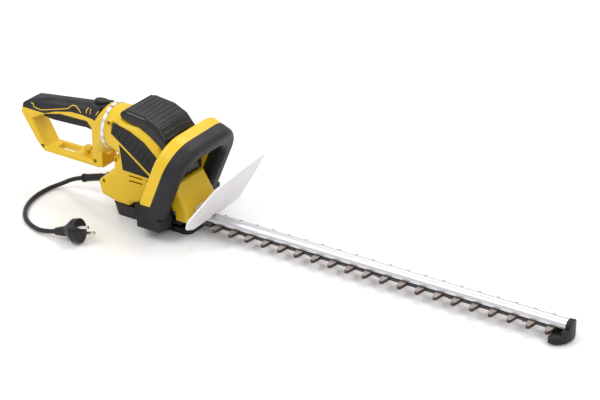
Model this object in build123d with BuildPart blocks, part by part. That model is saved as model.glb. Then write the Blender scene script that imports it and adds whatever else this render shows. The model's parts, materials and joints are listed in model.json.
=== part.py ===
from build123d import *
import os
from math import cos, pi, radians, sin, tan

# Corded hedge trimmer with a swivelling rear handle, a loop front handle and a double-acting
# blade. Millimetres. +X runs forward along the blade, +Y is the operator's left, +Z is up.
# The origin is the centre of the flat sole that the tool rests on, so the floor is z = 0.

os.makedirs("parts", exist_ok=True)

# ------------------------------------------------------------------ driving dimensions
WALL = 3.0                    # moulded casing wall
FIT = 0.3                     # gap between faces that move past each other
SEAT = 0.05                   # radial gap of a shaft or screw in its hole

BLADE_TOP = 18.0              # top face of the upper blade above the floor
BLADE_THICK = 2.4             # one blade
BLADE_GAP = 0.2               # oil film between the two blades
TOOTH_PITCH = 28.0
TOOTH_COUNT = 20
TOOTH_REACH = 24.5            # tooth tip from the centre line
TOOTH_TIP_R = 3.2
TOOTH_BASE = 11.6             # tooth width where it leaves the spine
SPINE_HALF = 8.0              # half width of the blade's spine
TOOTH_START = 100.0           # first tooth on the right side
TOOTH_STAGGER = 10.0          # the left row sits this much further back
STROKE_HALF = 7.0             # each blade slides this far either way

RAIL_START, RAIL_END = 59.5, 652.0
RAIL_R = 9.0                  # half round guide rail
STRIP_THICK = 1.3             # black wear strip under the rail
BOLT_X = [142.0, 254.0, 366.0, 478.0, 590.0]
BOLT_R = 2.5

MOTOR_X = -18.0               # motor axis
MODULE = 1.25
PINION_TEETH, GEAR_TEETH = 8, 52

BODY_HALF = 42.0              # half width of the motor housing
SWIVEL_X, SWIVEL_Z, SWIVEL_R = -89.0, 130.0, 35.0

LOOP_LEAN = 22.0              # the loop handle leans forward, degrees from vertical
LOOP_FOOT_X = 3.2             # where the loop's middle plane meets the floor
LOOP_HALF = 77.5              # outer half width
LOOP_HIGH = 167.5             # highest point, measured up the slope from the floor
LOOP_BAR = 27.0               # thickness of the bar seen from the front
LOOP_FRONT, LOOP_BACK = 23.0, 20.0  # depth of the black and the yellow half

GRIP_HALF = 18.0              # half width of the rear handle

GUARD_X, GUARD_Z, GUARD_THICK = 85.0, 30.5, 3.0
GUARD_SCREWS = [(-13.0, 40.0), (13.0, 40.0)]
BASE_SCREWS = [(-57.0, -20.0), (-57.0, 20.0), (-46.0, -20.0), (-46.0, 20.0)]

CORD_R = 3.5
PLUG_YAW, PLUG_PITCH, PLUG_ROLL = 10.0, 13.0, 50.0
PIN_PITCH, PIN_R, PIN_LONG, PIN_ROOT_R = 19.0, 2.4, 19.0, 2.0
PLUG_NECK, PLUG_HEAD, PLUG_HEAD_R = 26.0, 16.0, 18.0

SHANK_R, HEAD_R, HEAD_DEEP = 1.7, 3.2, 2.4   # casing screws

BLADE_LOW = BLADE_TOP - 2 * BLADE_THICK - BLADE_GAP
RAIL_LOW = BLADE_TOP + 0.1 + STRIP_THICK
RAIL_SIDE = 2.0               # straight side of the rail below its half round top
GEAR_R = MODULE * GEAR_TEETH / 2
PINION_R = MODULE * PINION_TEETH / 2
CRANK_X = MOTOR_X + GEAR_R + PINION_R
GEAR_LOW, GEAR_HIGH = 26.5, 34.5
PLATE_LOW, PLATE_HIGH = 38.0, 43.0    # gear carrier plate
SWIVEL_AXIS = Plane.YZ.offset(SWIVEL_X)
LOOP_PLANE = Plane(origin=(LOOP_FOOT_X, 0, 0), x_dir=(0, 1, 0),
                   z_dir=(cos(radians(LOOP_LEAN)), 0, -sin(radians(LOOP_LEAN))))

made = []


def finish(part, label):
    """Name a finished piece and write it."""
    part.label = label
    export_step(part, f"parts/{label}.step")
    made.append(label)


def screw_group(places, head_y, long, slack=0.0):
    """Screws driven along +Y with their heads on the right side; places are (x, z)."""
    with BuildPart() as screws:
        with BuildSketch(Plane.XZ.offset(head_y)):
            with Locations(places):
                Circle(HEAD_R + slack)
        extrude(amount=-HEAD_DEEP)
        with BuildSketch(Plane.XZ.offset(head_y - HEAD_DEEP)):
            with Locations(places):
                Circle(SHANK_R + slack)
        extrude(amount=-long)
    return screws.part


def screw_room(places, head_y, long):
    """The space the same screws need, with an open way out for their heads."""
    with BuildPart() as room:
        add(screw_group(places, head_y, long + 1, SEAT))
        with BuildSketch(Plane.XZ.offset(head_y)):
            with Locations(places):
                Circle(HEAD_R + SEAT)
        extrude(amount=20)
    return room.part


# ------------------------------------------------------------------ motor housing
# Side outline of the yellow casing: neck at the rear top, cord boot at the rear bottom.
HOUSING_SIDE = [(-84, 96), (-66, 103), (-67, 80), (-97, 53), (-91, 31), (-62, 24), (-41, 24),
                (-32, 32), (34, 39), (34, 112), (18, 136), (0, 149), (-18, 158), (-40, 158.5),
                (-54, 164), (-84, 164)]
VENT_SIDE = [(-61, 157), (-66, 139), (7, 87), (19, 116), (-6, 138), (-31, 150)]
LABEL_SIDE = [(-52, 124), (-47, 84), (6, 82)]
HOUSING_SCREWS = [(-72, 152), (-60, 96), (-84, 56)]
VENT_SLOTS = [(-24, 77, 25), (-24, 69, 25), (-1.5, 76.5, 8), (-1.5, 68.5, 8)]
BOOT_Z, BOOT_R = 40.0, 6.5
NECK_X = -52.0                # the neck swells from the swivel ring to the body as far as here

with BuildPart() as housing:
    with BuildSketch(Plane.XZ) as housing_outline:
        with BuildLine():
            Polyline(HOUSING_SIDE, close=True)
        make_face()
        fillet(housing_outline.vertices(), 4)
    extrude(amount=BODY_HALF, both=True)
    fillet(housing.faces().filter_by(Axis.Y).edges(), 9)
    with BuildSketch(Plane.XZ, mode=Mode.PRIVATE) as hollow:
        with BuildLine():
            Polyline(HOUSING_SIDE, close=True)
        make_face()
        offset(amount=-WALL - 1, kind=Kind.INTERSECTION)
    extrude(hollow.sketch, amount=BODY_HALF - WALL - 1, both=True, mode=Mode.SUBTRACT)
    with Locations((NECK_X - 25, 0, 99)):
        Box(50, 100, 80, align=(Align.CENTER, Align.CENTER, Align.MIN), mode=Mode.SUBTRACT)
    with BuildSketch(Plane.YZ.offset(SWIVEL_X + 4)):
        with Locations((0, SWIVEL_Z)):
            Circle(SWIVEL_R)
    with BuildSketch(Plane.YZ.offset(NECK_X + 6)):
        with Locations((0, 130)):
            RectangleRounded(2 * BODY_HALF - 1.2, 64.4, 16)
    loft()
    with BuildSketch(SWIVEL_AXIS):
        with Locations((0, SWIVEL_Z)):
            Circle(SWIVEL_R - 6)
    extrude(amount=40, mode=Mode.SUBTRACT)
    with BuildSketch(Plane.YZ.offset(-110)):
        with Locations((0, BOOT_Z)):
            Circle(BOOT_R + SEAT)
    extrude(amount=40, mode=Mode.SUBTRACT)
    with Locations((-6, 0, 30)):
        Box(76, 68, 32, mode=Mode.SUBTRACT)
    with Locations(*[(x, y, 26) for x, y in BASE_SCREWS]):
        Cylinder(2 + SEAT, 8, mode=Mode.SUBTRACT)
    for side in (-1, 1):
        face = Plane.XZ.offset(side * (BODY_HALF - 1.5))
        for outline in (VENT_SIDE, LABEL_SIDE):
            with BuildSketch(face):
                with BuildLine():
                    Polyline(outline, close=True)
                make_face()
            extrude(amount=side * 5, mode=Mode.SUBTRACT)
        with BuildSketch(Plane.XZ.offset(side * 20)):
            for x, z, long in VENT_SLOTS:
                with Locations((x, z)):
                    SlotOverall(long, 3)
        extrude(amount=side * 30, mode=Mode.SUBTRACT)
    with BuildSketch(Plane.XZ):
        with Locations(HOUSING_SCREWS):
            Circle(HEAD_R + 1.4)
    extrude(amount=BODY_HALF - WALL, both=True)
    add(screw_room(HOUSING_SCREWS, BODY_HALF - 10, 38), mode=Mode.SUBTRACT)

for name, keep in (("housing_right", Keep.TOP), ("housing_left", Keep.BOTTOM)):
    with BuildPart() as half:
        add(housing.part)
        split(bisect_by=Plane.XZ, keep=keep)
    finish(half.part, name)


with BuildPart() as swivel_ring:
    with BuildSketch(Plane.YZ.offset(SWIVEL_X - 2)):
        with Locations((0, SWIVEL_Z)):
            Circle(SWIVEL_R + 1)
            Circle(SWIVEL_R - 10.5, mode=Mode.SUBTRACT)
    extrude(amount=6)
    with BuildSketch(Plane.YZ.offset(SWIVEL_X + 4)):
        with Locations((0, SWIVEL_Z)):
            Circle(SWIVEL_R - 6 - SEAT)
            Circle(SWIVEL_R - 10.5, mode=Mode.SUBTRACT)
    extrude(amount=4)
    fillet(swivel_ring.edges().filter_by(GeomType.CIRCLE).sort_by(Axis.X)[0:2], 1)
finish(swivel_ring.part, "swivel_ring")

for name, side in (("right", 1), ("left", -1)):
    with BuildPart() as vent_panel:
        with BuildSketch(Plane.XZ.offset(side * (BODY_HALF - 1.4))):
            with BuildLine():
                Polyline(VENT_SIDE, close=True)
            make_face()
            offset(amount=-SEAT)
        extrude(amount=side * 2.2)
        for step in range(9):
            with BuildSketch(Plane.XZ.offset(side * BODY_HALF)):
                with Locations((-54 + 8 * step, 146 - 5 * step)):
                    Rectangle(2.6, 17, rotation=-35)
            extrude(amount=side * 3, mode=Mode.SUBTRACT)
    finish(vent_panel.part, f"vent_panel_{name}")
    with BuildPart() as label_panel:
        with BuildSketch(Plane.XZ.offset(side * (BODY_HALF - 1.4))):
            with BuildLine():
                Polyline(LABEL_SIDE, close=True)
            make_face()
            offset(amount=-SEAT)
        extrude(amount=side * 1.8)
    finish(label_panel.part, f"label_panel_{name}")

# Ribbed motor cover: a hollow cap whose front apron drops between the loop's legs.
COVER_LOW = [(-55, 165), (-40, 159.5), (-18, 159), (0, 150), (18, 137), (34.2, 113), (34.2, 79)]
COVER_TOP = [(37.5, 79), (36, 122), (27, 151), (16, 164), (-6, 174), (-40, 178), (-52, 174)]
with BuildPart() as top_cover:
    with BuildSketch(Plane.XZ) as cover_outline:
        with BuildLine():
            Polyline(COVER_LOW + COVER_TOP, close=True)
        make_face()
        fillet(cover_outline.vertices().filter_by_position(Axis.Y, 120, 180).sort_by(Axis.Y)[-5:], 6)
    extrude(amount=38, both=True)
    fillet(top_cover.faces().filter_by(Axis.Y).edges().filter_by(lambda e: e.center().Z > 167), 6)
    with BuildSketch(Plane.XZ) as cover_hollow:
        with BuildLine():
            Polyline([(-46, 140), (-43, 172), (-38, 173.5), (-7, 170), (13, 160.6), (23, 149), (31, 125),
                      (31, 112), (0, 112)], close=True)
        make_face()
    extrude(amount=34, both=True, mode=Mode.SUBTRACT)
finish(top_cover.part, "top_cover")

# ------------------------------------------------------------------ sole, flanks and gearbox
LEG_INNER, STUB_HIGH = LOOP_HALF - LOOP_BAR, 58.0   # black foot under each yellow leg
SOLE_X, SOLE_LONG, SOLE_WIDE, BASE_HIGH = -6.0, 136.0, 62.0, 24.0
FLANK = [(-30, 34), (-6, 66), (2, 77), (43, 77), (43, 49.5), (37.5, 44), (37.5, 34)]
with BuildPart() as base_shell:
    with BuildSketch(Plane.XY):
        with Locations((SOLE_X, 0)):
            RectangleRounded(SOLE_LONG, SOLE_WIDE, 12)
    with BuildSketch(Plane.XY.offset(BASE_HIGH)):
        with Locations((SOLE_X, 0)):
            RectangleRounded(SOLE_LONG, SOLE_WIDE + 16, 12)
    loft()
    with BuildSketch(Plane.XZ):
        with BuildLine():
            Polyline([(-31, 20), (-31, 31.4), (33.6, 38.2), (37.5, 38.2), (37.5, 20)], close=True)
        make_face()
    extrude(amount=39, both=True)
    for side in (-1, 1):
        with BuildSketch(Plane.XY.offset(20)):
            with BuildLine():
                Polyline([(x, side * y) for x, y in FLANK], close=True)
            make_face()
        extrude(amount=18.2)
        with BuildSketch(Plane.XY.offset(6)):
            with BuildLine():
                Polyline([(-26, side * 30), (10, side * 40), (34, side * 40), (34, side * 30)], close=True)
            make_face()
        with BuildSketch(Plane.XY.offset(20)):
            with BuildLine():
                Polyline([(-28, side * 34), (2, side * 74), (40, side * 74), (37, side * 34)], close=True)
            make_face()
        loft()
        with BuildSketch(Plane.XZ.offset(side * LEG_INNER)):
            with BuildLine():
                Polyline([(-4, 36), (5.1, STUB_HIGH), (26.6, STUB_HIGH), (17.7, 36)], close=True)
            make_face()
        extrude(amount=side * LOOP_BAR)
    with Locations((19, 0, 25)):
        Box(88.4, 74, 28, mode=Mode.SUBTRACT)
    with Locations((-46, 0, 16)):
        Box(46, 52, 20, mode=Mode.SUBTRACT)
    with BuildSketch(Plane.XZ):
        with BuildLine():
            Polyline([(-41, 24), (-32, 31.9), (34.4, 38.8), (34.4, 60), (-41, 60)], close=True)
        make_face()
    extrude(amount=BODY_HALF + 0.4, both=True, mode=Mode.SUBTRACT)
    with Locations(*[(x, y, 0) for x, y in BASE_SCREWS]):
        Cylinder(2 + SEAT, 20, mode=Mode.SUBTRACT)
        Cylinder(3.6 + SEAT, 6.8, mode=Mode.SUBTRACT)
finish(base_shell.part, "base_shell")

NOSE_SIDE = [(38, 38.6), (44, 38.6), (44, 24.4), (66, 24.4), (66, 42), (60, 52), (44, 78.6), (38, 78.6)]
with BuildPart() as gearbox_nose:
    with BuildSketch(Plane.XZ):
        with BuildLine():
            Polyline(NOSE_SIDE, close=True)
        make_face()
    extrude(amount=38, both=True)
    fillet(gearbox_nose.edges().filter_by(lambda e: abs(abs(e.center().Y) - 38) < 0.1
                                          and e.center().X > 50 and e.center().Z > 27), 7)
    with BuildSketch(Plane.XZ):
        with BuildLine():
            Polyline([(30, 20), (62.6, 20), (62.6, 41), (57, 50), (42, 75), (30, 75)], close=True)
        make_face()
    extrude(amount=34.5, both=True, mode=Mode.SUBTRACT)
    with Locations((64, 0, 24)):
        Box(8, 2 * RAIL_R + 1, 14, mode=Mode.SUBTRACT)
    with BuildSketch(Plane.YZ.offset(56)):
        with Locations(GUARD_SCREWS):
            Circle(2 + SEAT)
    extrude(amount=14, mode=Mode.SUBTRACT)
finish(gearbox_nose.part, "gearbox_nose")

with BuildPart() as gear_plate:
    with Locations((-6, 0, PLATE_LOW)):
        Box(75, 67.6, PLATE_HIGH - PLATE_LOW, align=(Align.CENTER, Align.CENTER, Align.MIN))
    with Locations((MOTOR_X, 0, PLATE_LOW), (CRANK_X, 0, PLATE_LOW)):
        Cylinder(9 + SEAT, 20, mode=Mode.SUBTRACT)
finish(gear_plate.part, "gear_plate")

# ------------------------------------------------------------------ front loop handle
LOOP_CUT = Plane.XY.offset(38.4)
SWITCH_WIDE, SWITCH_HIGH, SWITCH_DEEP, SWITCH_STROKE = 84.0, 8.0, 9.0, 3.0
SWITCH_V = LOOP_HIGH - LOOP_BAR - 4.6   # middle of the switch bar, up the slope


def loop_outline(margin):
    """Outline of the loop seen square on, shrunk by margin; its legs run on below the floor."""
    high, low = LOOP_HIGH - margin, -60 - 2 * margin
    with BuildSketch(mode=Mode.PRIVATE) as outline:
        with Locations((0, (high + low) / 2)):
            RectangleRounded(2 * (LOOP_HALF - margin), high - low, 46 - 0.75 * margin)
    return outline.sketch


with BuildPart() as loop_grip:
    with BuildSketch(LOOP_PLANE):
        add(loop_outline(0))
        add(loop_outline(LOOP_BAR), mode=Mode.SUBTRACT)
    extrude(amount=LOOP_FRONT)
    split(bisect_by=LOOP_CUT, keep=Keep.TOP)
    fillet(loop_grip.edges().filter_by(
        lambda e: LOOP_PLANE.to_local_coords(e.center()).Z > LOOP_FRONT - 0.1
        and e.center().Z > 40), 10)
    with BuildSketch(LOOP_PLANE):
        with Locations((0, SWITCH_V + SWITCH_STROKE / 2)):
            RectangleRounded(SWITCH_WIDE + 2 * FIT, SWITCH_HIGH + SWITCH_STROKE + 2 * FIT, 3.8)
    extrude(amount=SWITCH_DEEP + 2 * FIT, mode=Mode.SUBTRACT)
    with BuildSketch(LOOP_PLANE.offset(3 - FIT)):
        with Locations((-24, SWITCH_V + 10), (24, SWITCH_V + 10)):
            Rectangle(4 + 2 * FIT, 18)
    extrude(amount=4 + 2 * FIT, mode=Mode.SUBTRACT)
finish(loop_grip.part, "loop_grip")

with BuildPart() as loop_back:
    with BuildSketch(LOOP_PLANE):
        add(loop_outline(0))
        add(loop_outline(LOOP_BAR), mode=Mode.SUBTRACT)
        with Locations((0, 60)):
            Rectangle(2 * (LOOP_HALF - 10), 96)
    extrude(amount=-LOOP_BACK)
    split(bisect_by=LOOP_CUT, keep=Keep.TOP)
    fillet(loop_back.edges().filter_by(
        lambda e: LOOP_PLANE.to_local_coords(e.center()).Z < 0.1 - LOOP_BACK
        and e.center().Z > 40 and LOOP_PLANE.to_local_coords(e.center()).Y > 108), 7)
    with Locations((0, 0, 78)):
        Box(200, 2 * BODY_HALF + 0.4, 80, mode=Mode.SUBTRACT)
    for side in (-1, 1):
        with Locations((0, side * (LEG_INNER + 30), 0)):
            Box(200, 60, 2 * STUB_HIGH, mode=Mode.SUBTRACT)
finish(loop_back.part, "loop_back")

with BuildPart() as switch_bar:
    with BuildSketch(LOOP_PLANE.offset(FIT)):
        with Locations((0, SWITCH_V)):
            RectangleRounded(SWITCH_WIDE, SWITCH_HIGH, 3.5)
    extrude(amount=SWITCH_DEEP)
    with BuildSketch(LOOP_PLANE.offset(3)):
        with Locations((-24, SWITCH_V + 8), (24, SWITCH_V + 8)):
            Rectangle(4, 12)
    extrude(amount=4)
finish(switch_bar.part, "switch_bar")

# ------------------------------------------------------------------ guard, rail and tip
GUARD_PLANE = Plane(origin=(GUARD_X, 0, GUARD_Z), x_dir=(0, 1, 0), z_dir=LOOP_PLANE.z_dir)
with BuildPart() as hand_guard:
    with BuildSketch(GUARD_PLANE) as guard_outline:
        with BuildLine():
            Polyline([(-56, 0), (60, 0), (84, 46), (93, 76), (20, 69), (-30, 62), (-82, 26), (-78, 10)],
                     close=True)
        make_face()
        fillet(guard_outline.vertices(), 6)
    extrude(amount=GUARD_THICK)
    with Locations((76.6, 0, GUARD_Z + 3.2)):
        Box(21, 38, 3)
    with Locations((GUARD_X, 0, GUARD_Z)):
        Box(24, 2 * RAIL_R + 1.6, 4.4, mode=Mode.SUBTRACT)
    with Locations((67.6, 0, GUARD_Z + 7.7)):
        Box(3, 38, 12)
    with BuildSketch(Plane.YZ.offset(60)):
        with Locations(GUARD_SCREWS):
            Circle(2 + SEAT)
    extrude(amount=10, mode=Mode.SUBTRACT)
finish(hand_guard.part, "hand_guard")


def rail_section(radius, low):
    """Half round over a short straight side, standing on z = low."""
    with BuildSketch(mode=Mode.PRIVATE) as section:
        with Locations((0, RAIL_LOW + RAIL_SIDE)):
            Circle(radius)
            Rectangle(2 * radius, 20, align=(Align.CENTER, Align.MAX))
        with Locations((0, low)):
            Rectangle(60, 40, align=(Align.CENTER, Align.MAX), mode=Mode.SUBTRACT)
    return section.sketch


with BuildPart() as guide_rail:
    with BuildSketch(Plane.YZ.offset(RAIL_START)):
        add(rail_section(RAIL_R, RAIL_LOW))
        add(rail_section(RAIL_R - 2.2, RAIL_LOW + 3), mode=Mode.SUBTRACT)
    extrude(amount=RAIL_END - RAIL_START)
    with Locations(*[(x, 0, RAIL_LOW) for x in BOLT_X]):
        Cylinder(BOLT_R + SEAT, 8, mode=Mode.SUBTRACT)
finish(guide_rail.part, "guide_rail")

with BuildPart() as wear_strip:
    with Locations(((RAIL_START + RAIL_END) / 2, 0, BLADE_TOP + 0.1)):
        Box(RAIL_END - RAIL_START, 2 * RAIL_R + 0.8, STRIP_THICK,
            align=(Align.CENTER, Align.CENTER, Align.MIN))
    with Locations(*[(x, 0, RAIL_LOW) for x in BOLT_X]):
        Cylinder(BOLT_R + SEAT, 8, mode=Mode.SUBTRACT)
finish(wear_strip.part, "wear_strip")

TIP_BACK, TIP_WIDE, TIP_LONG = 636.0, 27.0, 25.0
with BuildPart() as tip_guard:
    for low, high, front_only in ((3.0, 12.6, False), (12.6, 31.0, True)):
        with BuildSketch(Plane.XY.offset(low)):
            with Locations((TIP_BACK + 4, 0)):
                Ellipse(TIP_LONG - 4, TIP_WIDE)
            with Locations((TIP_BACK - 50 if not front_only else 602.4, 0)):
                Rectangle(100, 80, mode=Mode.SUBTRACT)
        extrude(amount=high - low)
    with BuildSketch(Plane.YZ.offset(600)) as tip_front:
        with Locations((0, RAIL_LOW + RAIL_SIDE + 30)):
            Rectangle(80, 60)
        with BuildLine():
            side = RAIL_LOW + RAIL_SIDE
            Polyline((-TIP_WIDE, side - 9), (-RAIL_R - 1.5, side), (-RAIL_R - 1.5, side + 1))
            ThreePointArc((-RAIL_R - 1.5, side + 1), (0, side + RAIL_R + 1.5), (RAIL_R + 1.5, side + 1))
            Polyline((RAIL_R + 1.5, side + 1), (RAIL_R + 1.5, side), (TIP_WIDE, side - 9),
                     (-TIP_WIDE, side - 9))
        make_face(mode=Mode.SUBTRACT)
    extrude(amount=80, mode=Mode.SUBTRACT)
    with BuildSketch(Plane.YZ.offset(RAIL_END - 10)):
        add(rail_section(RAIL_R - 2.2 - SEAT, RAIL_LOW + 3 + SEAT))
    extrude(amount=14)
finish(tip_guard.part, "tip_guard")

HEAD_LOW = BLADE_LOW - 3.4
with BuildPart() as blade_bolts:
    with Locations(*[(x, 0, HEAD_LOW) for x in BOLT_X]):
        Cylinder(5.2, 3.2, align=(Align.CENTER, Align.CENTER, Align.MIN))
        Cylinder(BOLT_R, RAIL_LOW + 7.8 - HEAD_LOW, align=(Align.CENTER, Align.CENTER, Align.MIN))
    for x in BOLT_X:
        with BuildSketch(Plane.XY.offset(HEAD_LOW)):
            with Locations((x, 0)):
                RegularPolygon(2, 6)
        extrude(amount=1.8, mode=Mode.SUBTRACT)
finish(blade_bolts.part, "blade_bolts")

with BuildPart() as blade_nuts:
    with BuildSketch(Plane.XY.offset(RAIL_LOW + 3)):
        with Locations(*[(x, 0) for x in BOLT_X]):
            RegularPolygon(4.6, 6)
            Circle(BOLT_R + SEAT, mode=Mode.SUBTRACT)
    extrude(amount=4)
finish(blade_nuts.part, "blade_nuts")

# ------------------------------------------------------------------ reciprocating blades
ROOT_HALF_X, ROOT_HALF_Y, NECK_HALF, NECK_END = 27.0, 20.0, 13.0, 88.0
ECC_R, ECC_THROW = 6.0, STROKE_HALF
WINDOW_X = 2 * (ECC_R + ECC_THROW + STROKE_HALF + 0.6)
WINDOW_Y = 2 * (ECC_R + ECC_THROW + 0.5)
SPINE_END = TOOTH_START + (TOOTH_COUNT - 1) * TOOTH_PITCH + 8


def blade_outline():
    """Blade in plan: yoke plate, neck, then a spine with a row of teeth along each edge."""
    with BuildSketch(mode=Mode.PRIVATE) as outline:
        with Locations((CRANK_X, 0)):
            RectangleRounded(2 * ROOT_HALF_X, 2 * ROOT_HALF_Y, 3)
            Rectangle(WINDOW_X, WINDOW_Y, mode=Mode.SUBTRACT)
        with Locations(((CRANK_X + ROOT_HALF_X - 4 + NECK_END) / 2, 0)):
            Rectangle(NECK_END - CRANK_X - ROOT_HALF_X + 4, 2 * NECK_HALF)
        with Locations(((NECK_END + SPINE_END) / 2 - 4, 0)):
            Rectangle(SPINE_END - NECK_END + 8, 2 * SPINE_HALF)
        for side, start in ((-1, TOOTH_START), (1, TOOTH_START - TOOTH_STAGGER)):
            tip = side * (TOOTH_REACH - TOOTH_TIP_R)
            root = side * (SPINE_HALF - 1)
            for k in range(TOOTH_COUNT):
                x = start + k * TOOTH_PITCH
                with BuildLine():
                    Polyline((x - TOOTH_BASE / 2, root), (x - TOOTH_TIP_R, tip))
                    ThreePointArc((x - TOOTH_TIP_R, tip), (x, side * TOOTH_REACH), (x + TOOTH_TIP_R, tip))
                    Polyline((x + TOOTH_TIP_R, tip), (x + TOOTH_BASE / 2, root),
                             (x - TOOTH_BASE / 2, root))
                make_face()
        with Locations(*[(x, 0) for x in BOLT_X]):
            SlotOverall(2 * (STROKE_HALF + BOLT_R + 0.8), 2 * (BOLT_R + 0.4), mode=Mode.SUBTRACT)
    return outline.sketch


blade_plan = blade_outline()
for name, low in (("upper_blade", BLADE_TOP - BLADE_THICK), ("lower_blade", BLADE_LOW)):
    with BuildPart() as blade:
        with BuildSketch(Plane.XY.offset(low)):
            add(blade_plan)
        extrude(amount=BLADE_THICK)
    finish(blade.part, name)


# ------------------------------------------------------------------ drive train
def toothed_disc(teeth, bore):
    """Spur gear outline with straight flanked teeth and a round bore."""
    pitch_r = MODULE * teeth / 2
    with BuildSketch(mode=Mode.PRIVATE) as outline:
        Circle(pitch_r - MODULE)
        with PolarLocations(pitch_r - 0.25 * MODULE, teeth):
            Trapezoid(1.95 * MODULE, 1.9 * MODULE, 72, rotation=-90)
        if bore:
            Circle(bore, mode=Mode.SUBTRACT)
    return outline.sketch


MIN_UP = (Align.CENTER, Align.CENTER, Align.MIN)
with BuildPart() as crank_gear:
    with BuildSketch(Plane.XY.offset(GEAR_LOW)):
        with Locations((CRANK_X, 0)):
            add(toothed_disc(GEAR_TEETH, 0))
    extrude(amount=GEAR_HIGH - GEAR_LOW)
    with Locations((CRANK_X, 0, BLADE_LOW - 0.6)):
        Cylinder(4, PLATE_HIGH + 3 - BLADE_LOW + 0.6, align=MIN_UP)
    with Locations((CRANK_X, ECC_THROW, BLADE_TOP - BLADE_THICK)):
        Cylinder(ECC_R, BLADE_THICK, align=MIN_UP)
    with Locations((CRANK_X, -ECC_THROW, BLADE_LOW)):
        Cylinder(ECC_R, BLADE_THICK, align=MIN_UP)
    with Locations((CRANK_X, 0, GEAR_HIGH - 2)):
        with PolarLocations(20, 6):
            Cylinder(5, 10, mode=Mode.SUBTRACT)
finish(crank_gear.part, "crank_gear")

CAN_LOW, CAN_HIGH, CAN_R = 54.0, 116.0, 33.0
CORE_R, SHAFT_R, COMMUTATOR_R = 22.0, 3.0, 11.0
with BuildPart() as armature:
    with BuildSketch(Plane.XY.offset(GEAR_LOW)):
        with Locations((MOTOR_X, 0)):
            add(toothed_disc(PINION_TEETH, 0).rotate(Axis.Z, 180 / PINION_TEETH))
    extrude(amount=GEAR_HIGH - GEAR_LOW + 1)
    with Locations((MOTOR_X, 0, GEAR_LOW)):
        Cylinder(SHAFT_R, 118, align=MIN_UP)
    with Locations((MOTOR_X, 0, CAN_LOW + 8)):
        Cylinder(CORE_R, 46, align=MIN_UP)
    with BuildSketch(Plane.XY.offset(CAN_LOW + 8)):
        with Locations((MOTOR_X, 0)):
            with PolarLocations(CORE_R, 12):
                Rectangle(7, 2.4)
    extrude(amount=46, mode=Mode.SUBTRACT)
    with Locations((MOTOR_X, 0, 119.6)):
        Cylinder(COMMUTATOR_R, 11.4, align=MIN_UP)
finish(armature.part, "armature")

with BuildPart() as motor_fan:
    with Locations((MOTOR_X, 0, 44.6)):
        Cylinder(30, 1.6, align=MIN_UP)
        Cylinder(7, 8, align=MIN_UP)
    with BuildSketch(Plane.XY.offset(45)):
        with Locations((MOTOR_X, 0)):
            with PolarLocations(20, 15):
                Rectangle(18, 1.4, rotation=24)
    extrude(amount=7)
    with Locations((MOTOR_X, 0, 50)):
        Cylinder(SHAFT_R + SEAT / 2, 20, mode=Mode.SUBTRACT)
finish(motor_fan.part, "motor_fan")

with BuildPart() as motor_stator:
    with Locations((MOTOR_X, 0, CAN_LOW)):
        Cylinder(CAN_R, CAN_HIGH - CAN_LOW, align=MIN_UP)
        Cylinder(CORE_R + 0.8, CAN_HIGH - CAN_LOW, align=MIN_UP, mode=Mode.SUBTRACT)
    for side in (-1, 1):
        with Locations((MOTOR_X + side * 34, 0, CAN_LOW)):
            Box(12, 80, 80, align=MIN_UP, mode=Mode.SUBTRACT)
finish(motor_stator.part, "motor_stator")

with BuildPart() as field_windings:
    for low in (CAN_LOW - 0.9, CAN_HIGH + 0.1):
        with BuildSketch(Plane.XY.offset(low)):
            with Locations((MOTOR_X, 0)):
                Circle(31)
                Circle(CORE_R + 2, mode=Mode.SUBTRACT)
                Rectangle(80, 26, mode=Mode.SUBTRACT)
        extrude(amount=0.8 if low < CAN_HIGH else 3.2)
finish(field_windings.part, "field_windings")

BEARING_R = 9.0
with BuildPart() as gear_bearings:
    for x, bore in ((MOTOR_X, SHAFT_R), (CRANK_X, 4)):
        with BuildSketch(Plane.XY.offset(PLATE_LOW)):
            with Locations((x, 0)):
                Circle(BEARING_R)
                Circle(bore + SEAT, mode=Mode.SUBTRACT)
        extrude(amount=PLATE_HIGH - PLATE_LOW)
finish(gear_bearings.part, "gear_bearings")

BRACKET_Z = 133.0
with BuildPart() as motor_bracket:
    with Locations((MOTOR_X, 0, BRACKET_Z)):
        Box(48, 54, 6, align=MIN_UP)
        Cylinder(8 + SEAT, 20, mode=Mode.SUBTRACT)
    for side in (-1, 1):
        with Locations((MOTOR_X + side * 22, 0, CAN_HIGH + 0.2)):
            Box(4, 22, BRACKET_Z - CAN_HIGH, align=MIN_UP)
finish(motor_bracket.part, "motor_bracket")

with BuildPart() as top_bearing:
    with BuildSketch(Plane.XY.offset(BRACKET_Z)):
        with Locations((MOTOR_X, 0)):
            Circle(8)
            Circle(SHAFT_R + SEAT, mode=Mode.SUBTRACT)
    extrude(amount=5)
finish(top_bearing.part, "top_bearing")

BRUSH_Z = 125.5
with BuildPart() as brush_holders:
    for side in (-1, 1):
        with Locations((MOTOR_X, side * 19, BRACKET_Z - 6.5)):
            Box(10, 13, 13)
        with Locations((MOTOR_X, side * 19, BRUSH_Z)):
            Box(6.2, 20, 6.2, mode=Mode.SUBTRACT)
finish(brush_holders.part, "brush_holders")

with BuildPart() as carbon_brushes:
    for side in (-1, 1):
        with Locations((MOTOR_X, side * 18.2, BRUSH_Z)):
            Box(6, 13.6, 6)
finish(carbon_brushes.part, "carbon_brushes")

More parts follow.
